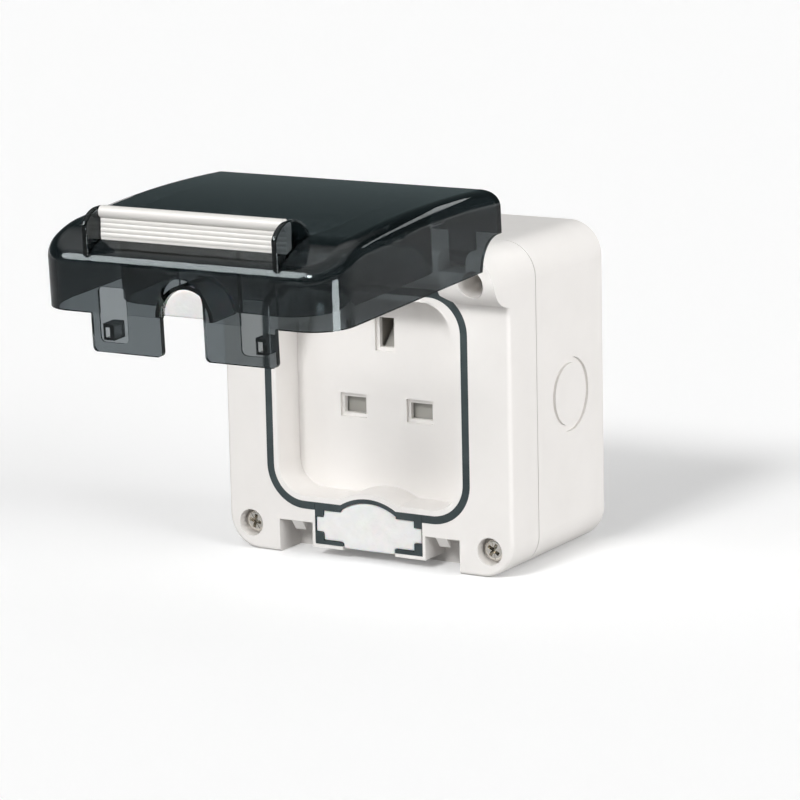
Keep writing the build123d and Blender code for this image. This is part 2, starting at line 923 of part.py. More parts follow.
def cover_screw(x, z):
    """A cover screw with a domed head and a cross recess, driven from the front."""
    shank = rod_along_y(screw_shank_radius, x, z, screw_seat - sink, screw_seat + screw_length)
    head = rod_along_y(screw_head_radius, x, z, screw_head_depth, screw_seat)
    head = fillet(head.faces().sort_by(Axis.Y)[0].edges(), screw_head_round)
    for turn in (45, 135):
        arm = Pos(x, z) * Rot(0, 0, turn) * Rectangle(cross_length, cross_width)
        head -= front_prism(arm, screw_head_depth - overrun, screw_head_depth + cross_depth)
    return head + shank


def make_hinge_pin(side):
    """A steel hinge pin, held in the hood on both sides of the lid's arm."""
    ends = sorted((side * pin_inner_end, side * (pin_outer_end - close_fit)))
    return rod_along_x(hinge_pin_radius, hinge_y, hinge_z, ends[0], ends[1])


def lid_profile(inset):
    """The closed lid from the side, in y and z, drawn in by inset."""
    back_y = lid_stock_back
    run = Vector(-(slope_y - chin_y), slope_z - lid_bottom)
    across = Vector(run.Y, -run.X).normalized() * inset
    chin_shift = across.X + (inset - across.Y) * run.X / run.Y
    chin = (-chin_y + chin_shift, lid_bottom + inset)
    cheek = (-slope_y + across.X, slope_z + across.Y)
    crown = (-crown_y + inset, crown_z)
    brow = (-lid_top_y + inset, lid_top - inset)
    front = Line(chin, cheek) + ThreePointArc(cheek, crown, brow)
    outline = Line((back_y, lid_bottom + inset), chin) + front
    outline += Line(brow, (back_y, lid_top - inset))
    outline += Line((back_y, lid_top - inset), (back_y, lid_bottom + inset))
    face = make_face(outline)
    kink = face.vertices().sort_by_distance(Vertex(cheek[0], cheek[1], 0))[0]
    return fillet(kink, cheek_round)


def lid_form(inset):
    """The closed lid's form drawn in by inset, with its lower corners rounded."""
    form = side_prism(lid_profile(inset), -lid_half_width + inset, lid_half_width - inset)
    front = Pos(0, (lid_top + lid_bottom) / 2) * Rectangle(
        2 * (lid_half_width - inset), lid_top - lid_bottom - 2 * inset
    )
    corners = front.vertices().sort_by(Axis.Y)
    front = fillet(corners[:2], lid_corner_radius - inset)
    return form & front_prism(front, -crown_y - lid_wall, lid_stock_back)


def make_lid():
    """The smoked lid in its closed place, as one moulding."""
    outer = lid_form(0.0)
    outer = fillet(lid_front_edges(outer), lid_round)
    outer = fillet(lid_upper_corners(outer), lid_top_corner_radius)
    inner = lid_form(lid_wall)
    inner = fillet(lid_front_edges(inner), lid_round - lid_wall)
    lid = outer - inner
    rear = block(-body_width, body_width, -lid_gap, lid_stock_back, 0, body_height)
    lid -= rear
    lid += seal_rib() & outer
    lid += foam_cradle() & outer
    lid += tongues()
    lid -= cable_cut()
    lid -= both_sides(tongue_pocket())
    lid += both_sides(latch_lug())
    lid -= both_sides(lug_core())
    lid -= hood_room()
    lid += both_sides(hinge_arm())
    lid -= both_sides(
        rod_along_x(hinge_bore_radius, hinge_y, hinge_z, arm_inner_x - overrun, arm_outer_x + overrun)
    )
    lid += both_sides(grip_ear()) - inner
    lid += grip_shelf() - inner
    return lid


def lid_front_edges(form):
    """The closed loop of edges between the lid's front surfaces and its sides."""
    chosen = []
    for edge in form.edges():
        box = edge.bounding_box()
        middle = edge @ 0.5
        along_x = box.size.Y < shelf_gap and box.size.Z < shelf_gap
        front_only = box.max.Y < -lip_depth + lid_round
        inner_line = along_x and lid_bottom + lid_round < middle.Z < lid_top - lid_round
        if front_only and not inner_line:
            chosen.append(edge)
    return chosen


def lid_upper_corners(form):
    """The two edges where the lid's end wall meets its sides."""
    return [
        edge
        for edge in form.edges().filter_by(GeomType.LINE)
        if (edge @ 0.5).Z > lid_top - lid_top_corner_radius
        and abs((edge @ 0.5).X) > lid_half_width - lid_top_corner_radius
        and edge.bounding_box().size.Y > lid_wall
    ]


def seal_rib():
    """The rib inside the lid that presses on the gasket ring and arches over the cable."""
    centre = -gasket_width / 2
    half = rib_thickness / 2
    wide = arched_ring_outline(centre + half, foam_arch_radius + rubber_thickness / 2 - half)
    slim = arched_ring_outline(centre - half, foam_arch_radius + rubber_thickness / 2 + half)
    return front_prism(wide - slim, -crown_y - overrun, -rib_gasket_gap)


def half_disc(radius):
    """The half of a disc that lies in front of the lid's rim, in x and y."""
    front_half = Pos(0, -radius / 2) * Rectangle(2 * radius, radius)
    return Pos(0, -lid_gap) * (Circle(radius) & front_half)


def foam_cradle():
    """The arched wall that holds the lid's foam behind the cable cut."""
    radius = lid_foam_radius + foam_clearance
    ring = half_disc(radius + cradle_thickness) - half_disc(radius)
    return top_prism(ring, lid_bottom + lid_wall / 2, lid_foam_end)


def tongues():
    """The two flat tongues that reach under the seal box and carry the latch lugs."""
    length = tongue_reach + lip_depth / 2
    middle_y = tongue_reach - length / 2
    outline = Pos((tongue_inner + tongue_outer) / 2, middle_y) * RectangleRounded(
        tongue_outer - tongue_inner, length, tongue_corner
    )
    return both_sides(top_prism(outline, lid_bottom, lid_bottom + tongue_thickness))


def tongue_pocket():
    """The thinner field in the inner side of a tongue."""
    length = tongue_pocket_reach + lip_depth / 2
    outline = Pos(tongue_pocket_x, tongue_pocket_reach - length / 2) * RectangleRounded(
        2 * tongue_pocket_half, length, tongue_corner
    )
    top = lid_bottom + tongue_thickness
    return top_prism(outline, top - tongue_pocket_depth, top + sink)


def latch_lug():
    """The lug on a tongue that snaps behind the nib in the latch notch."""
    top = notch_top - nib_drop - lug_clearance
    return block(
        nib_x - lug_width / 2,
        nib_x + lug_width / 2,
        lug_start,
        lug_start + lug_length,
        lid_bottom + tongue_thickness / 2,
        top,
    )


def lug_core():
    """The blind hollow that the lug has from the tongue's outer face, so that its walls are even."""
    top = notch_top - nib_drop - lug_clearance
    return block(
        nib_x - lug_width / 2 + lug_wall,
        nib_x + lug_width / 2 - lug_wall,
        lug_start + lug_wall,
        lug_start + lug_length - lug_wall,
        lid_bottom - overrun,
        top - lug_wall,
    )


def cable_cut():
    """The round-headed cut between the tongues where the cable comes out."""
    slot_end = tongue_reach + overrun
    slot = Pos(0, (cable_arch_y + slot_end) / 2) * Rectangle(
        2 * tongue_inner, slot_end - cable_arch_y
    )
    outline = slot + Pos(0, cable_arch_y) * Circle(tongue_inner)
    return top_prism(outline, lid_bottom - overrun, lid_bottom + lid_wall + sink)


def hood_room():
    """The space that the lid leaves for the hood when it is shut."""
    profile = hood_profile(
        hood_foot_z, hood_foot_slope, hood_round, grow=hood_lid_clearance, reach=lid_stock_back
    )
    return side_prism(profile, -body_width, body_width)


def hinge_arm():
    """A hinge arm: the end wall carried back to a barrel round the pin."""
    bar = block(
        arm_inner_x, arm_outer_x, -hood_depth - arm_root, hinge_y, lid_top - lid_wall + sink, lid_top
    )
    barrel = rod_along_x(arm_barrel_radius, hinge_y, hinge_z, arm_inner_x, arm_outer_x)
    return bar + barrel


def grip_ear():
    """The D-shaped plate at one end of the finger grip, with round edges."""
    root_y = -slope_y + lid_wall / 2
    tip = (-ear_tip_y, ear_low_z)
    low = (-ear_low_round_y, ear_low_z)
    front = (-ear_front_y, ear_front_z)
    back = (-ear_back_y, ear_back_z)
    edges = [
        Line(tip, low),
        ThreePointArc(low, (-ear_bulge_y, ear_bulge_low_z), front),
        ThreePointArc(front, (-ear_bulge_y, ear_bulge_high_z), back),
        Line(back, (root_y, slope_z)),
        Line((root_y, slope_z), (-ear_tip_y, ear_low_z + ear_thickness)),
        Line((-ear_tip_y, ear_low_z + ear_thickness), tip),
    ]
    outline = make_face(Wire(edges))
    kinks = [outline.vertices().sort_by_distance(Vertex(*place, 0))[0] for place in (low, front)]
    outline = fillet(kinks, ear_thickness)
    ear = side_prism(outline, ear_inner, ear_inner + ear_thickness)
    rims = []
    for edge in ear.edges():
        middle = edge @ 0.5
        shown = middle.Y < root_y - lid_wall / 2 or middle.Z < ear_low_z + shelf_gap
        if shown and edge.bounding_box().size.X < shelf_gap:
            rims.append(edge)
    return fillet(rims, ear_edge_round)


def grip_direction():
    """Unit vectors along the grip's lower face and out of it, in y and z."""
    along = Vector(-(grip_end_y - grip_start_y), grip_end_z - grip_start_z).normalized()
    return along, Vector(-along.Y, along.X)


def grip_section(start, end, near, far):
    """A slab between two distances behind the grip's lower face."""
    out = grip_direction()[1]
    corners = [start - out * near, end - out * near, end - out * far, start - out * far]
    return shape_between([(corner.X, corner.Y) for corner in corners])


def grip_shelf():
    """The smoked shelf behind the grip bar, joined to the lid's slope and both ears."""
    along = grip_direction()[0]
    start = Vector(-grip_start_y, grip_start_z) - along * shelf_root
    end = Vector(-grip_end_y, grip_end_z) - along * grip_bead_radius
    near = grip_thickness + shelf_gap
    outline = grip_section(start, end, near, near + shelf_thickness)
    return side_prism(outline, -ear_inner - ear_thickness / 2, ear_inner + ear_thickness / 2)


def make_grip_bar():
    """The off-white finger bar: a plate with faint ridges and a bead along its free edge."""
    along, out = grip_direction()
    start = Vector(-grip_start_y, grip_start_z)
    end = Vector(-grip_end_y, grip_end_z)
    bar = side_prism(grip_section(start, end, 0.0, grip_thickness), -grip_half, grip_half)
    centre = end - out * grip_bead_sink
    bar += rod_along_x(grip_bead_radius, centre.X, centre.Y, -grip_half, grip_half)
    for index in range(grip_rib_count):
        place = start + along * (grip_rib_first + grip_rib_pitch * index)
        place -= out * (grip_rib_radius - grip_rib_height)
        ridge = rod_along_x(grip_rib_radius, place.X, place.Y, -grip_half, grip_half)
        bar += ridge
    return bar - lid_form(-shelf_gap)


def make_lid_foam():
    """The foam block in the lid, a half disc that faces the housing's foam."""
    return top_prism(half_disc(lid_foam_radius), lid_foam_start, lid_foam_end)


def opened(shape):
    """Swing a piece of the lid from its closed place to its rest place."""
    to_axis = Pos(0, hinge_y, hinge_z)
    from_axis = Pos(0, -hinge_y, -hinge_z)
    return to_axis * Rot(-lid_open_angle, 0, 0) * from_axis * shape


write("back_box", make_back_box())
whole_frame = make_front_frame()
write("front_frame", whole_frame - hood_zone())
write("hinge_hood", whole_frame & hood_zone())
write("body_seal", seal_channel(frame_depth - seal_groove_depth, seam_y))
write("face_gasket", make_face_gasket())
write("foam_block", make_foam_block())
write("foam_holder", make_foam_holder())
write("socket_plate", make_socket_plate())
write("socket_base", make_socket_base())
write("shutter", make_shutter())
write("shutter_spring", make_shutter_spring())
write("live_contact", make_contact(line_x, pin_z))
write("neutral_contact", make_contact(-line_x, pin_z))
write("earth_contact", make_contact(0.0, earth_z, earth=True))
terminal_names = ("live_terminal", "neutral_terminal", "earth_terminal")
for terminal_name, (terminal_x, terminal_z) in zip(terminal_names, terminal_places()):
    write(terminal_name, make_terminal(terminal_x, terminal_z))
write(
    "terminal_screws",
    *[
        slotted_screw(
            x, z, base_back() + terminal_screw_stand, terminal_screw_radius, terminal_screw_length,
            terminal_head_radius, terminal_head_height
        )
        for x, z in terminal_places()
    ],
)
write(
    "base_screws",
    *[
        slotted_screw(
            side * base_screw_x, base_screw_z, base_back(), base_screw_radius,
            base_depth - screw_end_clearance, base_head_radius, terminal_head_height
        )
        for side in (-1, 1)
    ],
)
write(
    "plate_screws",
    *[
        slotted_screw(
            x, z, front_wall + plate_boss_length + plate_ear_thickness, base_screw_radius,
            plate_boss_length + plate_ear_thickness - screw_end_clearance, base_head_radius,
            terminal_head_height
        )
        for x, z in plate_screw_places()
    ],
)
write("cover_screws", *[cover_screw(x, z) for x, z in screw_places])
write("hinge_pin_left", make_hinge_pin(-1))
write("hinge_pin_right", make_hinge_pin(1))
write("lid", opened(make_lid()))
write("grip_bar", opened(make_grip_bar()))
write("lid_foam", opened(make_lid_foam()))
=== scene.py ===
"""Looks for the outdoor weatherproof socket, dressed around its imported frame.

Lengths are in metres in the frame's own place: x to the right, y into the wall, z up.
"""

import json
import logging
import math
from collections.abc import Callable
from dataclasses import dataclass
from enum import Enum

import bpy
from mathutils import Matrix, Vector


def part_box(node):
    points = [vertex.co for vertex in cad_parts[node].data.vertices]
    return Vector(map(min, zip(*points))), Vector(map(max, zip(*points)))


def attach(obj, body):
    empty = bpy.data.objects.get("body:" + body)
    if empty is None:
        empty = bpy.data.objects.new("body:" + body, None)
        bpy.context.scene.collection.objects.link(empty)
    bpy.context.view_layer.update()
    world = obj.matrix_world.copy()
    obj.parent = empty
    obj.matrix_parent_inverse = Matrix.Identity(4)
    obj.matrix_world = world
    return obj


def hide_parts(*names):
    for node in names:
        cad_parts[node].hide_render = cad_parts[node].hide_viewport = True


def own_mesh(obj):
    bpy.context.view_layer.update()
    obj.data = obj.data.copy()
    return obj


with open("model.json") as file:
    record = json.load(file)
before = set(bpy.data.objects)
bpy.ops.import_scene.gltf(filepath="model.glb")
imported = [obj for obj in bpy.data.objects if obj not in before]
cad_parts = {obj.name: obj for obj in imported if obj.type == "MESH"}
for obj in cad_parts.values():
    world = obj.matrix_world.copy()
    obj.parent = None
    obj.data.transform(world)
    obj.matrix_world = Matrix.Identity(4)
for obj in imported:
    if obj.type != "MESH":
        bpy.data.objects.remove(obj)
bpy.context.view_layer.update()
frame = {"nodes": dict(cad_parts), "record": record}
MM = 0.001
FRONT_Y = -55.8 * MM
FOOT_Z = -47.15 * MM
LOG = logging.getLogger("socket")
Colour = tuple[float, float, float]
Point = tuple[float, float, float]


def from_front(x: float, y: float, z: float) -> Point:
    """Place a point given in millimetres from the middle of the front's foot.

    Args:
        x: to the right.
        y: back from the front face.
        z: up from the bottom edge.

    Returns:
        The point in the frame, in metres.
    """
    return (x * MM, FRONT_Y + y * MM, FOOT_Z + z * MM)


class Body(Enum):
    """The rigid bodies that pieces of this scene ride on."""

    HOUSING = "housing"
    LID = "lid"


class Part(Enum):
    """What an edit-mode selection picks."""

    FACE = "FACE"
    EDGE = "EDGE"
    VERTEX = "VERT"


class Way(Enum):
    """What a tool does to a piece."""

    JOIN = "UNION"
    CUT = "DIFFERENCE"
    TRIM = "INTERSECT"


class Axis(Enum):
    """A direction that a shape runs along."""

    BACK = (0.0, 1.0, 0.0)
    UP = (0.0, 0.0, 1.0)

    @property
    def vector(self) -> Vector:
        """The direction as a vector."""
        return Vector(self.value)


class Reach(Enum):
    """What a lamp's light shows on."""

    ALL = "all"
    MATT = "matt"
    GLOSS = "gloss"


class Graph:
    """A small helper that lays out one material's nodes."""

    def __init__(self, name: str) -> None:
        """Start an empty material.

        Args:
            name: the material's name.
        """
        self.material = bpy.data.materials.new(name)
        self.material.use_nodes = True
        self.tree = self.material.node_tree
        self.tree.nodes.clear()
        self.output = self.tree.nodes.new("ShaderNodeOutputMaterial")
        self.coordinates = self.tree.nodes.new("ShaderNodeTexCoord").outputs["Object"]

    def node(self, kind: str, **settings: object) -> bpy.types.Node:
        """Add a node and set its own settings.

        Args:
            kind: the node's type name.
            settings: attribute values of the node.

        Returns:
            The new node.
        """
        made = self.tree.nodes.new(kind)
        for key, value in settings.items():
            setattr(made, key, value)
        return made

    def feed(self, node: bpy.types.Node, **values: object) -> bpy.types.Node:
        """Set or link a node's inputs, named with underscores for spaces.

        Args:
            node: the node to feed.
            values: sockets to link from, or plain values to set.

        Returns:
            The same node.
        """
        for key, value in values.items():
            socket = node.inputs[key.replace("_", " ")]
            if isinstance(value, bpy.types.NodeSocket):
                self.tree.links.new(value, socket)
            else:
                socket.default_value = value
        return node

    def noise(
        self, size: float, detail: float = 3.0, roughness: float = 0.55
    ) -> bpy.types.NodeSocket:
        """A noise field whose features are about size across.

        Args:
            size: the width of a feature, in metres.
            detail: the number of finer layers.
            roughness: how strong the finer layers are.

        Returns:
            The socket with values about one half.
        """
        made = self.node("ShaderNodeTexNoise")
        self.feed(
            made, Vector=self.coordinates, Scale=1.0 / size, Detail=detail, Roughness=roughness
        )
        return made.outputs["Fac"]

    def remap(self, source: bpy.types.NodeSocket, low: float, high: float,
              start: float = 0.3, end: float = 0.7) -> bpy.types.NodeSocket:
        """Map a field from start..end to low..high.

        Args:
            source: the field.
            low: the value at start.
            high: the value at end.
            start: the field's value that gives low.
            end: the field's value that gives high.

        Returns:
            The mapped socket.
        """
        made = self.node("ShaderNodeMapRange")
        self.feed(made, Value=source)
        made.inputs["From Min"].default_value = start
        made.inputs["From Max"].default_value = end
        made.inputs["To Min"].default_value = low
        made.inputs["To Max"].default_value = high
        return made.outputs["Result"]

    def blend(
        self, factor: bpy.types.NodeSocket, first: Colour, second: Colour
    ) -> bpy.types.NodeSocket:
        """Mix two colours by a field.

        Args:
            factor: 0 gives first and 1 gives second.
            first: a linear colour.
            second: a linear colour.

        Returns:
            The mixed colour's socket.
        """
        made = self.node("ShaderNodeMix", data_type="RGBA")
        self.tree.links.new(factor, made.inputs["Factor"])
        made.inputs["A"].default_value = (*first, 1.0)
        made.inputs["B"].default_value = (*second, 1.0)
        return [s for s in made.outputs if s.type == "RGBA"][0]

    def bump(
        self, height: bpy.types.NodeSocket, depth: float, over: bpy.types.NodeSocket | None = None
    ) -> bpy.types.NodeSocket:
        """Turn a height field into a normal.

        Args:
            height: the field.
            depth: the height of the field's full range, in metres.
            over: the normal of a finer bump that this one lies over.

        Returns:
            The normal's socket.
        """
        made = self.node("ShaderNodeBump")
        self.feed(made, Height=height, Distance=depth)
        if over:
            self.feed(made, Normal=over)
        return made.outputs["Normal"]

    def finish(self, shader: bpy.types.NodeSocket,
               volume: bpy.types.NodeSocket | None = None) -> bpy.types.Material:
        """Send a shader to the output.

        Args:
            shader: the surface shader's socket.
            volume: the socket of what fills the body, if it is clear.

        Returns:
            The finished material.
        """
        self.tree.links.new(shader, self.output.inputs["Surface"])
        if volume:
            self.tree.links.new(volume, self.output.inputs["Volume"])
        return self.material


@dataclass(frozen=True)
class MouldedPlastic:
    """Opaque moulded plastic with a fine grain and slight clouding."""

    name: str
    colour: Colour
    shade: Colour
    roughness: float = 0.42
    grain: float = 0.35 * MM
    grain_depth: float = 0.012 * MM
    cloud: float = 14.0 * MM
    smoother: float = 0.04
    rougher: float = 0.05
    index: float = 1.5

    def build(self) -> bpy.types.Material:
        """Return the plastic's material."""
        graph = Graph(self.name)
        clouds = graph.noise(self.cloud, detail=4.0)
        grain = graph.noise(self.grain, detail=2.0)
        shader = graph.node("ShaderNodeBsdfPrincipled")
        graph.feed(
            shader,
            Base_Color=graph.blend(graph.remap(clouds, 0.0, 1.0), self.colour, self.shade),
            Roughness=graph.remap(
                clouds, self.roughness - self.smoother, self.roughness + self.rougher
            ),
            Normal=graph.bump(grain, self.grain_depth),
            IOR=self.index,
        )
        return graph.finish(shader.outputs[0])


@dataclass(frozen=True)
class SmokedPlastic:
    """Clear smoked plastic that darkens with its thickness."""

    name: str
    pass_colour: Colour
    density: float
    roughness: float = 0.04
    index: float = 1.45
    gloss: float = 0.4
    gloss_colour: Colour = (0.88, 0.98, 1.0)
    ripple: float = 30.0 * MM
    ripple_depth: float = 0.02 * MM
    smear: float = 12.0 * MM
    smear_range: tuple[float, float] = (0.7, 1.5)

    def build(self) -> bpy.types.Material:
        """Return the smoked plastic's material."""
        graph = Graph(self.name)
        ripple = graph.noise(self.ripple, detail=1.0)
        smears = graph.noise(self.smear, detail=4.0)
        glass = graph.node("ShaderNodeBsdfPrincipled")
        graph.feed(
            glass,
            Base_Color=(1.0, 1.0, 1.0, 1.0),
            Roughness=graph.remap(smears, *(self.roughness * share for share in self.smear_range)),
            IOR=self.index,
            Transmission_Weight=1.0,
            Specular_IOR_Level=self.gloss,
            Specular_Tint=(*self.gloss_colour, 1.0),
            Normal=graph.bump(ripple, self.ripple_depth),
        )
        smoke = graph.node("ShaderNodeVolumeAbsorption")
        graph.feed(smoke, Color=(*self.pass_colour, 1.0), Density=self.density)
        return graph.finish(glass.outputs[0], smoke.outputs[0])


@dataclass(frozen=True)
class SoftRubber:
    """Dark rubber with a dusty bloom and a fine matt skin."""

    name: str
    colour: Colour
    bloom: Colour
    roughness: float = 0.55
    skin: float = 0.5 * MM
    skin_depth: float = 0.02 * MM
    patch: float = 6.0 * MM
    patch_range: tuple[float, float] = (0.35, 0.75)
    smoother: float = 0.08
    rougher: float = 0.12
    index: float = 1.5

    def build(self) -> bpy.types.Material:
        """Return the rubber's material."""
        graph = Graph(self.name)
        patches = graph.noise(self.patch, detail=5.0, roughness=0.65)
        skin = graph.noise(self.skin, detail=3.0)
        shader = graph.node("ShaderNodeBsdfPrincipled")
        graph.feed(
            shader,
            Base_Color=graph.blend(
                graph.remap(patches, 0.0, 1.0, *self.patch_range), self.colour, self.bloom
            ),
            Roughness=graph.remap(
                patches, self.roughness - self.smoother, self.roughness + self.rougher
            ),
            Normal=graph.bump(skin, self.skin_depth),
            IOR=self.index,
        )
        return graph.finish(shader.outputs[0])


@dataclass(frozen=True)
class ClosedFoam:
    """Soft white foam with a faint skin of cells and slight creases, with painted shade in the
    creases' hollows.
    """

    name: str
    colour: Colour
    shade: Colour
    cell: float = 0.6 * MM
    cell_depth: float = 0.05 * MM
    crease: float = 3.5 * MM
    crease_depth: float = 0.28 * MM
    roughness: float = 0.8
    glow_through: float = 0.3
    glow_depth: float = 1.5 * MM

    def build(self) -> bpy.types.Material:
        """Return the foam's material."""
        graph = Graph(self.name)
        cells = graph.noise(self.cell, detail=2.0)
        creases = graph.noise(self.crease, detail=5.0, roughness=0.6)
        fine = graph.bump(cells, self.cell_depth)
        shader = graph.node("ShaderNodeBsdfPrincipled")
        graph.feed(
            shader,
            # The low parts of the crease field take the darker colour: painted shade in the crease
            # hollows.
            Base_Color=graph.blend(graph.remap(creases, 0.0, 1.0), self.shade, self.colour),
            Roughness=self.roughness,
            Normal=graph.bump(creases, self.crease_depth, over=fine),
            Subsurface_Weight=self.glow_through,
            Subsurface_Scale=self.glow_depth,
        )
        return graph.finish(shader.outputs[0])


@dataclass(frozen=True)
class WorkedMetal:
    """Plated or drawn metal with fine working marks."""

    name: str
    colour: Colour
    dull: Colour
    roughness: float = 0.22
    mark: float = 0.4 * MM
    mark_depth: float = 0.006 * MM
    stain_size: float = 3.2 * MM
    smoother: float = 0.06
    rougher: float = 0.1

    def build(self) -> bpy.types.Material:
        """Return the metal's material."""
        graph = Graph(self.name)
        marks = graph.noise(self.mark, detail=4.0, roughness=0.7)
        stain = graph.noise(self.stain_size, detail=3.0)
        shader = graph.node("ShaderNodeBsdfPrincipled")
        graph.feed(
            shader,
            Base_Color=graph.blend(graph.remap(stain, 0.0, 1.0), self.colour, self.dull),
            Metallic=1.0,
            Roughness=graph.remap(
                marks, self.roughness - self.smoother, self.roughness + self.rougher
            ),
            Normal=graph.bump(marks, self.mark_depth),
        )
        return graph.finish(shader.outputs[0])


FINISHES = {
    "housing": MouldedPlastic("housing_plastic", (0.815, 0.79, 0.765), (0.79, 0.765, 0.74)),
    "socket_plate": MouldedPlastic(
        "plate_plastic", (0.83, 0.805, 0.78), (0.81, 0.785, 0.76), roughness=0.36
    ),
    "socket_base": MouldedPlastic(
        "base_plastic", (0.50, 0.48, 0.44), (0.45, 0.43, 0.39), roughness=0.5
    ),
    # The shutter's grey is set darker than its plastic to stand in for the shade inside the
    # socket's slots: partly its own grey, partly painted shade.
    "shutter": MouldedPlastic(
        "shutter_plastic_and_slot_shade", (0.38, 0.37, 0.34), (0.33, 0.32, 0.29), roughness=0.4
    ),
    "seal_rubber": SoftRubber("seal_rubber", (0.018, 0.030, 0.033), (0.042, 0.058, 0.061)),
    # The foam's second colour is the painted shade in its crease hollows.
    "foam": ClosedFoam("cable_foam", (0.83, 0.82, 0.81), (0.77, 0.76, 0.75)),
    "smoked_plastic": SmokedPlastic("smoked_plastic", (0.0, 0.07, 0.10), density=1080.0),
    "grip_plastic": MouldedPlastic(
        "grip_plastic", (0.77, 0.75, 0.72), (0.75, 0.73, 0.70), roughness=0.38
    ),
    "brass": WorkedMetal("contact_brass", (0.74, 0.53, 0.22), (0.62, 0.43, 0.18), roughness=0.28),
    "screw_steel": WorkedMetal(
        "nickel_plate", (0.84, 0.81, 0.76), (0.68, 0.65, 0.60),
        roughness=0.10, mark_depth=0.003 * MM,
    ),
    "pin_steel": WorkedMetal("pin_steel", (0.56, 0.56, 0.56), (0.48, 0.48, 0.48), roughness=0.3),
    "spring_steel": WorkedMetal(
        "spring_steel", (0.55, 0.55, 0.56), (0.45, 0.45, 0.46), roughness=0.3
    ),
}


@dataclass
class Camera:
    """The photograph's viewpoint, measured on the socket's own corners."""

    azimuth: float = 31.017
    elevation: float = 12.015
    roll: float = -1.265
    focal_pixels: float = 3851.6
    picture_width: float = 800.0
    sensor: float = 36.0
    distance: float = 1091.64 * MM
    aim: Point = (11.589 * MM, FRONT_Y, 1.79 * MM)
    near_clip: float = 10.0 * MM

    def build(self) -> None:
        """Create the camera and make it the scene's own."""
        turn, lift, lean = (math.radians(a) for a in (self.azimuth, self.elevation, self.roll))
        level = math.cos(lift)
        back = Vector((math.sin(turn) * level, -math.cos(turn) * level, math.sin(lift)))
        level_right = Vector((0.0, 0.0, 1.0)).cross(back).normalized()
        level_up = back.cross(level_right)
        right = math.cos(lean) * level_right + math.sin(lean) * level_up
        up = -math.sin(lean) * level_right + math.cos(lean) * level_up
        data = bpy.data.cameras.new("photo_camera")
        data.sensor_width = self.sensor
        data.lens = self.focal_pixels * self.sensor / self.picture_width
        data.clip_start = self.near_clip
        camera = bpy.data.objects.new("photo_camera", data)
        place = Vector(self.aim) + back * self.distance
        camera.matrix_world = Matrix((
            (right.x, up.x, back.x, place.x),
            (right.y, up.y, back.y, place.y),
            (right.z, up.z, back.z, place.z),
            (0.0, 0.0, 0.0, 1.0),
        ))
        bpy.context.scene.collection.objects.link(camera)
        bpy.context.scene.camera = camera
        LOG.info("camera: %.0f px focal length", self.focal_pixels)


@dataclass(frozen=True)
class Lamp:
    """One distant soft lamp."""

    name: str
    source: Point
    strength: float
    softness: float
    reach: Reach = Reach.ALL

    def build(self) -> None:
        """Add the lamp, shining from its source direction."""
        data = bpy.data.lights.new(self.name, "SUN")
        data.energy = self.strength
        data.angle = math.radians(self.softness)
        lamp = bpy.data.objects.new(self.name, data)
        lamp.rotation_euler = Vector(self.source).to_track_quat("Z", "Y").to_euler()
        lamp.visible_diffuse = self.reach is not Reach.GLOSS
        lamp.visible_glossy = self.reach is not Reach.MATT
        bpy.context.scene.collection.objects.link(lamp)


@dataclass(frozen=True)
class Panel:
    """One soft panel near the socket that shows only as a gleam on glossy surfaces."""

    name: str
    place: Point
    aim: Point
    size: tuple[float, float]
    power: float

    def build(self) -> None:
        """Add the panel at its place, shining at its aim."""
        data = bpy.data.lights.new(self.name, "AREA")
        data.shape = "RECTANGLE"
        data.size, data.size_y = self.size
        data.energy = self.power
        panel = bpy.data.objects.new(self.name, data)
        panel.location = self.place
        away = Vector(self.place) - Vector(self.aim)
        panel.rotation_euler = away.to_track_quat("Z", "Y").to_euler()
        panel.visible_diffuse = False
        panel.visible_camera = False
        panel.visible_transmission = False
        bpy.context.scene.collection.objects.link(panel)


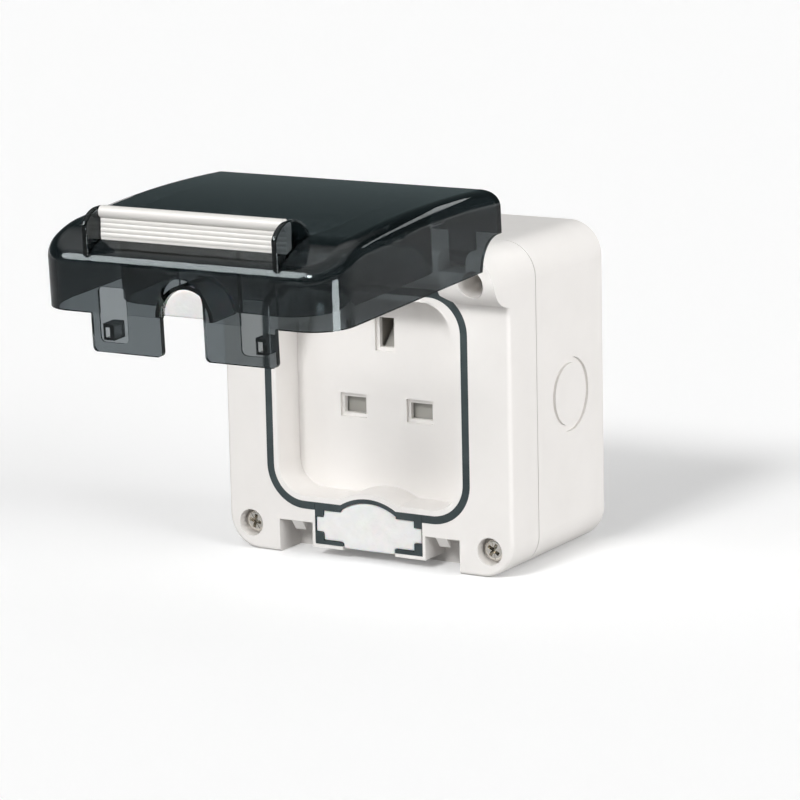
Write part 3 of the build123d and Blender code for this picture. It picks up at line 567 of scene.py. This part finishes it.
@dataclass
class Studio:
    """The pale floor, the surrounding light and the lamps."""

    floor_half: float = 3.0
    floor_shown: float = 0.98
    floor_bounce: float = 0.45
    floor_glow: float = 0.10
    white: tuple[float, float, float, float] = (1.0, 1.0, 1.0, 1.0)
    ambient: float = 0.38
    roof: tuple[tuple[float, Colour], ...] = (
        (0.02, (1.0, 1.0, 1.0)),
        (0.10, (0.13, 0.165, 0.17)),
        (0.62, (0.055, 0.08, 0.085)),
        (0.80, (0.9, 0.9, 0.9)),
    )
    lamps: tuple[Lamp, ...] = (
        Lamp("key", (-0.10, -1.0, 0.76), strength=1.60, softness=14.0),
        Lamp("left_fill", (-0.62, -0.80, 0.30), strength=0.45, softness=20.0, reach=Reach.MATT),
        Lamp("gleam", (-0.504, -0.62, 0.60), strength=2.2, softness=32.0, reach=Reach.GLOSS),
        Lamp("side_fill", (1.0, -0.10, 0.10), strength=3.3, softness=50.0, reach=Reach.MATT),
    )
    panels: tuple[Panel, ...] = (
        Panel(
            "rim_panel", place=(0.129, 0.168, 0.238), aim=(0.046, -0.125, 0.066),
            size=(0.20, 0.03), power=0.045,
        ),
        Panel(
            "corner_panel", place=(0.441, -0.203, FOOT_Z + 0.002), aim=(0.441, -0.203, 1.0),
            size=(0.22, 0.14), power=1.1,
        ),
    )

    def build(self) -> None:
        """Create floor, world and lamps."""
        self._floor()
        self._world()
        for light in (*self.lamps, *self.panels):
            light.build()
        bpy.context.scene.view_settings.view_transform = "Standard"
        LOG.info("studio: %d lamps, %d panels", len(self.lamps), len(self.panels))

    def _seen_rays(self, tree: bpy.types.NodeTree, kinds: tuple[str, ...]) -> bpy.types.NodeSocket:
        """Join some of the light path's ray tests into one.

        Args:
            tree: the node tree to add to.
            kinds: the ray tests' names.

        Returns:
            A socket that is 1 for any of those rays.
        """
        path = tree.nodes.new("ShaderNodeLightPath")
        seen = path.outputs[kinds[0]]
        for kind in kinds[1:]:
            join = tree.nodes.new("ShaderNodeMath")
            join.operation = "MAXIMUM"
            tree.links.new(seen, join.inputs[0])
            tree.links.new(path.outputs[kind], join.inputs[1])
            seen = join.outputs[0]
        return seen

    def _floor(self) -> None:
        """A wide white floor that takes the socket's shadow."""
        clear_selection()
        bpy.ops.mesh.primitive_plane_add(size=2 * self.floor_half, location=(0, 0, FOOT_Z))
        floor = bpy.context.object
        floor.name = "floor"
        graph = Graph("floor_white")
        matt = graph.node("ShaderNodeBsdfDiffuse")
        seen = self._seen_rays(graph.tree, ("Is Camera Ray", "Is Transmission Ray"))
        bounce, shown = ((level, level, level) for level in (self.floor_bounce, self.floor_shown))
        graph.feed(matt, Color=graph.blend(seen, bounce, shown))
        lift = graph.node("ShaderNodeMath", operation="MULTIPLY")
        lift.inputs[1].default_value = self.floor_glow
        kinds = ("Is Camera Ray", "Is Glossy Ray", "Is Transmission Ray")
        graph.tree.links.new(self._seen_rays(graph.tree, kinds), lift.inputs[0])
        glow = graph.node("ShaderNodeEmission")
        graph.feed(glow, Strength=lift.outputs[0])
        both = graph.node("ShaderNodeAddShader")
        graph.tree.links.new(matt.outputs[0], both.inputs[0])
        graph.tree.links.new(glow.outputs[0], both.inputs[1])
        floor.data.materials.append(graph.finish(both.outputs[0]))

    def _world(self) -> None:
        """White behind the socket, a soft light round it, and a dim roof that gloss mirrors."""
        world = bpy.data.worlds.new("white_surround")
        bpy.context.scene.world = world
        world.use_nodes = True
        tree = world.node_tree
        tree.nodes.clear()
        output = tree.nodes.new("ShaderNodeOutputWorld")
        lit, shown, mirrored = (tree.nodes.new("ShaderNodeBackground") for _ in range(3))
        for background in (lit, shown):
            background.inputs["Color"].default_value = self.white
        lit.inputs["Strength"].default_value = self.ambient
        direction = tree.nodes.new("ShaderNodeTexCoord").outputs["Generated"]
        parts = tree.nodes.new("ShaderNodeSeparateXYZ")
        tree.links.new(direction, parts.inputs[0])
        ramp = tree.nodes.new("ShaderNodeValToRGB")
        stops = ramp.color_ramp.elements
        stops[0].position, stops[1].position = 0.0, 1.0
        for place, level in self.roof:
            stop = stops.new(place)
            stop.color = (*level, 1.0)
        for stop in (stops[0], stops[len(stops) - 1]):
            stop.color = self.white
        tree.links.new(parts.outputs["Z"], ramp.inputs["Fac"])
        tree.links.new(ramp.outputs["Color"], mirrored.inputs["Color"])
        result = lit.outputs[0]
        for kinds, background in (
            (("Is Glossy Ray",), mirrored),
            (("Is Camera Ray", "Is Transmission Ray"), shown),
        ):
            mix = tree.nodes.new("ShaderNodeMixShader")
            tree.links.new(self._seen_rays(tree, kinds), mix.inputs[0])
            tree.links.new(result, mix.inputs[1])
            tree.links.new(background.outputs[0], mix.inputs[2])
            result = mix.outputs[0]
        tree.links.new(result, output.inputs["Surface"])


def clear_selection() -> None:
    """Deselect everything, so that an operator acts only on what comes next."""
    if bpy.context.mode != "OBJECT":
        bpy.ops.object.mode_set(mode="OBJECT")
    bpy.ops.object.select_all(action="DESELECT")


def pick(piece: bpy.types.Object) -> None:
    """Make one piece the only one selected, and the active one."""
    clear_selection()
    piece.select_set(True)
    bpy.context.view_layer.objects.active = piece


def select_parts(piece: bpy.types.Object, kind: Part, wanted: Callable[[Vector], bool]) -> None:
    """Enter edit mode with only those parts selected whose middle is wanted.

    Args:
        piece: the piece to work on.
        kind: whether faces, edges or vertices are selected.
        wanted: says of a middle point whether its part is wanted.
    """
    pick(piece)
    bpy.ops.object.mode_set(mode="EDIT")
    bpy.ops.mesh.select_mode(type=kind.value)
    bpy.ops.mesh.select_all(action="DESELECT")
    bpy.ops.object.mode_set(mode="OBJECT")
    mesh = piece.data
    if kind is Part.FACE:
        for face in mesh.polygons:
            face.select = wanted(face.center)
    elif kind is Part.EDGE:
        for edge in mesh.edges:
            ends = [mesh.vertices[index].co for index in edge.vertices]
            edge.select = wanted((ends[0] + ends[1]) / 2) and wanted(ends[0])
    else:
        for vertex in mesh.vertices:
            vertex.select = wanted(vertex.co)
    bpy.ops.object.mode_set(mode="EDIT")


def settle(piece: bpy.types.Object) -> bpy.types.Object:
    """Put a piece's place and size into its mesh, with its object at the origin."""
    pick(piece)
    bpy.ops.object.transform_apply(location=True, rotation=True, scale=True)
    return piece


def refine(piece: bpy.types.Object, kind: str, **settings: object) -> None:
    """Add a modifier to a piece and apply it.

    Args:
        piece: the piece to change.
        kind: the modifier's type name.
        settings: the modifier's own settings.
    """
    pick(piece)
    modifier = piece.modifiers.new(kind.lower(), kind)
    for key, value in settings.items():
        setattr(modifier, key, value)
    bpy.ops.object.modifier_apply(modifier=modifier.name)


def combine(piece: bpy.types.Object, tool: bpy.types.Object, way: Way) -> None:
    """Join, cut or trim a piece with a tool, and remove the tool.

    Args:
        piece: the piece to change.
        tool: the shape that works on it.
        way: what the tool does.
    """
    refine(piece, "BOOLEAN", object=tool, operation=way.value)
    bpy.data.objects.remove(tool)


def add_block(low: Point, high: Point) -> bpy.types.Object:
    """Add a box between two corners.

    Args:
        low: its lowest corner.
        high: its highest corner.

    Returns:
        The box, settled.
    """
    clear_selection()
    middle = [(a + b) / 2 for a, b in zip(low, high)]
    size = [b - a for a, b in zip(low, high)]
    bpy.ops.mesh.primitive_cube_add(size=1.0, location=middle, scale=size)
    return settle(bpy.context.object)


def add_rod(
    radius: float, near: Point, length: float, axis: Axis, sides: int = 64
) -> bpy.types.Object:
    """Add a rod that starts at a point and runs along an axis.

    Args:
        radius: its radius.
        near: the middle of its first end.
        length: its length along the axis.
        axis: the direction it runs in.
        sides: the number of flats round it.

    Returns:
        The rod, settled.
    """
    clear_selection()
    middle = Vector(near) + axis.vector * (length / 2)
    turn = axis.vector.to_track_quat("Z", "Y").to_euler()
    bpy.ops.mesh.primitive_cylinder_add(
        vertices=sides, radius=radius, depth=length, location=middle, rotation=turn
    )
    return settle(bpy.context.object)


def wind(outline: bpy.types.Object, axis: str, pitch: float, turns: int, steps: int) -> None:
    """Wind a closed outline into a coil round an axis through the origin, and close its ends.

    Args:
        outline: the section of the coil, at its first end.
        axis: the axis's letter.
        pitch: the rise of one turn.
        turns: the number of turns.
        steps: the sections in one turn.
    """
    refine(
        outline, "SCREW", axis=axis, screw_offset=pitch, iterations=turns,
        steps=steps, render_steps=steps, use_merge_vertices=False,
    )
    pick(outline)
    bpy.ops.object.mode_set(mode="EDIT")
    bpy.ops.mesh.select_mode(type="EDGE")
    bpy.ops.mesh.select_all(action="DESELECT")
    bpy.ops.mesh.select_non_manifold()
    bpy.ops.mesh.edge_face_add()
    bpy.ops.mesh.select_all(action="SELECT")
    bpy.ops.mesh.normals_make_consistent(inside=False)
    bpy.ops.object.mode_set(mode="OBJECT")


@dataclass
class CoverScrews:
    """The four cross-head screws of the cover, modelled once and copied; sizes in millimetres."""

    across: float = 40.0
    heights: tuple[float, float] = (7.7, 85.5)
    head_radius: float = 3.25
    head_front: float = 2.2
    head_back: float = 4.5
    dome: float = 1.1
    dome_steps: int = 7
    dome_profile: float = 0.55
    shank_radius: float = 1.55
    shank_end: float = 30.5
    shank_sides: int = 32
    cross_half: float = 2.2
    cross_wide: float = 1.15
    cross_depth: float = 1.9
    cross_taper: float = 0.45
    tick_wide: float = 0.22
    tick_depth: float = 0.22
    tick_inset: float = 0.5
    tool_reach: float = 0.3
    shank_point: float = 0.7
    thread_pitch: float = 0.9
    thread_height: float = 0.33
    thread_turns: int = 24
    thread_steps: int = 20
    thread_bite: float = 0.2
    thread_section: float = 1.3
    thread_run_out: float = 1.0
    sliver: float = 0.01
    smooth_angle: float = 35.0
    turns: tuple[float, ...] = (12.0, 33.0, 7.0, 52.0)

    def build(self, material: bpy.types.Material) -> None:
        """Make the screws.

        Args:
            material: the plated steel.
        """
        pattern = self._head()
        self._cut_cross(pattern)
        self._add_shank(pattern)
        pattern.data.materials.append(material)
        pick(pattern)
        bpy.ops.object.shade_smooth_by_angle(angle=math.radians(self.smooth_angle))
        places = [(side * self.across, height) for height in self.heights for side in (-1, 1)]
        for index, ((x, z), turn) in enumerate(zip(places, self.turns)):
            pick(pattern)
            bpy.ops.object.duplicate()
            screw = bpy.context.object
            screw.name = f"cover_screw_{index + 1}"
            screw.rotation_euler = (0.0, math.radians(turn), 0.0)
            screw.location = from_front(x, 0.0, z)
            settle(screw)
            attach(screw, Body.HOUSING.value)
            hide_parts("cover_screws")
        bpy.data.objects.remove(pattern)
        LOG.info("cover screws: %d", len(places))

    def _head(self) -> bpy.types.Object:
        """Make the domed head round the y axis, with its front at the head's depth."""
        height = self.head_back - self.head_front
        head = add_rod(self.head_radius * MM, (0, self.head_front * MM, 0), height * MM, Axis.BACK)
        rim = (self.head_front + self.sliver) * MM
        select_parts(head, Part.EDGE, lambda middle: middle.y < rim)
        bpy.ops.mesh.bevel(
            offset=self.dome * MM, segments=self.dome_steps, profile=self.dome_profile
        )
        bpy.ops.object.mode_set(mode="OBJECT")
        return head

    def _cut_cross(self, head: bpy.types.Object) -> None:
        """Cut the tapered cross, its centre and the four fine lines between its arms.

        Args:
            head: the head to cut.
        """
        start = (self.head_front - self.tool_reach) * MM
        end = (self.head_front + self.cross_depth) * MM
        floor = end - self.sliver * MM
        half, wide = self.cross_half * MM, self.cross_wide * MM / 2
        for size in ((half, wide), (wide, half)):
            blade = add_block((-size[0], start, -size[1]), (size[0], end, size[1]))
            select_parts(blade, Part.FACE, lambda middle: middle.y > floor)
            bpy.ops.transform.resize(value=(self.cross_taper, 1.0, self.cross_taper))
            combine(head, blade, Way.CUT)
        tick = self.tick_wide * MM / 2
        reach = (self.head_radius - self.tick_inset) * MM
        bottom = (self.head_front + self.tick_depth) * MM
        for turn in (45, 135):
            line = add_block((-reach, start, -tick), (reach, bottom, tick))
            line.rotation_euler = (0.0, math.radians(turn), 0.0)
            settle(line)
            combine(head, line, Way.CUT)

    def _add_shank(self, head: bpy.types.Object) -> None:
        """Add the shank with a rolled thread and a point.

        Args:
            head: the head to add it to.
        """
        start = (self.head_back - self.tool_reach) * MM
        length = self.shank_end * MM - start
        shank = add_rod(
            self.shank_radius * MM, (0, start, 0), length, Axis.BACK, self.shank_sides
        )
        tip = (self.shank_end - self.sliver) * MM
        select_parts(shank, Part.FACE, lambda middle: middle.y > tip)
        bpy.ops.mesh.bevel(offset=self.shank_point * MM, segments=1)
        bpy.ops.object.mode_set(mode="OBJECT")
        clear_selection()
        thread_end = self.shank_end - self.thread_run_out
        thread_start = thread_end - self.thread_turns * self.thread_pitch
        middle_x = self.shank_radius + self.thread_height * self.thread_bite
        bpy.ops.mesh.primitive_circle_add(
            vertices=3, radius=self.thread_height * self.thread_section * MM,
            location=(middle_x * MM, thread_start * MM, 0.0),
            rotation=(0.0, 0.0, math.radians(-90)),
        )
        thread = settle(bpy.context.object)
        wind(thread, "Y", self.thread_pitch * MM, self.thread_turns, self.thread_steps)
        pick(head)
        shank.select_set(True)
        thread.select_set(True)
        bpy.ops.object.join()


@dataclass
class ShutterSpring:
    """The coil that lifts the shutter and shortens as the shutter goes down, made here at one
    fixed length; in millimetres.
    """

    wire: float = 0.4
    wire_sides: int = 10
    turns: int = 6
    turn_steps: int = 32
    travel: float = 6.2

    def build(self, material: bpy.types.Material) -> None:
        """Make the coil in the place of its frame node.

        Args:
            material: the spring's steel.
        """
        low, high = (Vector(corner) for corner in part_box("shutter_spring"))
        middle = (low + high) / 2
        wire_radius = self.wire * MM / 2
        radius = (high.x - low.x) / 2 - wire_radius
        height = high.z - low.z - 2 * wire_radius
        clear_selection()
        bpy.ops.mesh.primitive_circle_add(
            vertices=self.wire_sides, radius=wire_radius,
            location=(radius, 0.0, wire_radius), rotation=(math.radians(90), 0.0, 0.0),
        )
        coil = settle(bpy.context.object)
        wind(coil, "Z", height / self.turns, self.turns, self.turn_steps)
        coil.location = (middle.x, middle.y, low.z)
        settle(coil)
        coil.name = "shutter_coil"
        coil.data.materials.append(material)
        pick(coil)
        bpy.ops.object.shade_smooth()
        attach(coil, Body.HOUSING.value)
        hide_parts("shutter_spring")
        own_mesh(coil)
        LOG.info("shutter spring: %d turns", self.turns)


@dataclass
class CableFoam:
    """The white foam in the housing and in the lid that closes round the cable; in millimetres."""

    depth: float = 8.2
    face: float = 0.35
    crown: float = 0.3
    end_half: float = 17.7
    end_heights: tuple[float, float] = (7.4, 11.9)
    step_half: float = 15.2
    step_heights: tuple[float, float] = (5.0, 13.9)
    middle_half: float = 9.2
    foot_half: float = 8.6
    foot_height: float = 3.3
    arch_radius: float = 16.4
    arch_centre: float = 1.0
    lid_radius: float = 7.9
    lid_gap: float = 0.3
    lid_heights: tuple[float, float] = (3.8, 13.4)
    hinge: tuple[float, float] = (-0.43, 91.33)
    open_angle: float = 87.2
    grain: float = 0.32
    softness: float = 0.5
    softening: int = 7
    overrun: float = 1.0
    crown_reach: float = 2.5
    crown_spread: float = 11.0
    sides: int = 96

    def build(self, material: bpy.types.Material) -> None:
        """Make both foam pieces.

        Args:
            material: the foam.
        """
        block = self._housing_block()
        self._soften(block, material, "cable_foam")
        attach(block, Body.HOUSING.value)
        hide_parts("foam_block")
        half_disc = self._lid_block()
        self._soften(half_disc, material, "lid_cable_foam")
        self._swing_open(half_disc)
        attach(half_disc, Body.LID.value)
        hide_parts("lid_foam")
        LOG.info("foam pieces: 2")

    def _bar(self, half: float, low: float, high: float) -> bpy.types.Object:
        """Add one rectangle of the block, as deep as the block.

        Args:
            half: half its width.
            low: its bottom.
            high: its top.

        Returns:
            The rectangle as a box.
        """
        return add_block(from_front(-half, self.face, low), from_front(half, self.depth, high))

    def _housing_block(self) -> bpy.types.Object:
        """Make the stepped block with its arched top, and swell its face."""
        arch = add_rod(
            self.arch_radius * MM, from_front(0, self.face, self.arch_centre),
            (self.depth - self.face) * MM, Axis.BACK, self.sides,
        )
        top = self.arch_centre + self.arch_radius + self.overrun
        combine(arch, self._bar(self.middle_half, self.step_heights[0], top), Way.TRIM)
        combine(arch, self._bar(self.foot_half, self.foot_height, self.step_heights[1]), Way.JOIN)
        combine(arch, self._bar(self.step_half, *self.step_heights), Way.JOIN)
        combine(arch, self._bar(self.end_half, *self.end_heights), Way.JOIN)
        refine(arch, "REMESH", mode="VOXEL", voxel_size=self.grain * MM)
        middle = Vector(from_front(0, self.face, sum(self.step_heights) / 2))
        reach = self.crown_reach * MM
        select_parts(arch, Part.VERTEX, lambda place: (place - middle).length < reach)
        bpy.ops.transform.translate(
            value=(0.0, -self.crown * MM, 0.0), use_proportional_edit=True,
            proportional_edit_falloff="SMOOTH", proportional_size=self.crown_spread * MM,
        )
        bpy.ops.object.mode_set(mode="OBJECT")
        return arch

    def _lid_block(self) -> bpy.types.Object:
        """Make the half disc in its closed place."""
        low, high = self.lid_heights
        disc = add_rod(
            self.lid_radius * MM, from_front(0, -self.lid_gap, low),
            (high - low) * MM, Axis.UP, self.sides,
        )
        behind = add_block(
            from_front(-2 * self.lid_radius, -self.lid_gap, low - self.overrun),
            from_front(2 * self.lid_radius, 2 * self.lid_radius, high + self.overrun),
        )
        combine(disc, behind, Way.CUT)
        refine(disc, "REMESH", mode="VOXEL", voxel_size=self.grain * MM)
        return disc

    def _soften(self, piece: bpy.types.Object, material: bpy.types.Material, name: str) -> None:
        """Round the foam's edges and give it its finish.

        Args:
            piece: the foam.
            material: the foam's material.
            name: the piece's name.
        """
        refine(piece, "SMOOTH", factor=self.softness, iterations=self.softening)
        piece.name = name
        piece.data.materials.clear()
        piece.data.materials.append(material)
        pick(piece)
        bpy.ops.object.shade_smooth()

    def _swing_open(self, piece: bpy.types.Object) -> None:
        """Turn a piece of the lid from its closed place to where the open lid holds it."""
        pick(piece)
        bpy.ops.transform.rotate(
            value=math.radians(self.open_angle), orient_axis="X",
            center_override=from_front(0.0, *self.hinge),
        )
        settle(piece)


def dress_nodes(materials: dict[str, bpy.types.Material]) -> None:
    """Give each CAD node the finish of its material slot, and let light pass the clear lid.

    Args:
        materials: finished materials by slot name.
    """
    for subpart in frame["record"]["subparts"]:
        node = frame["nodes"][subpart["node"]]
        node.data.materials.clear()
        node.data.materials.append(materials[subpart["material_slot"]])
        LOG.info("dressed %s in %s", node.name, subpart["material_slot"])
    frame["nodes"]["lid"].visible_shadow = False


def main() -> None:
    """Build the scene."""
    logging.basicConfig(level=logging.INFO, format="%(message)s")
    Camera().build()
    Studio().build()
    materials = {slot: finish.build() for slot, finish in FINISHES.items()}
    dress_nodes(materials)
    CoverScrews().build(materials["screw_steel"])
    ShutterSpring().build(materials["spring_steel"])
    CableFoam().build(materials["foam"])


if __name__ == "__main__":
    main()
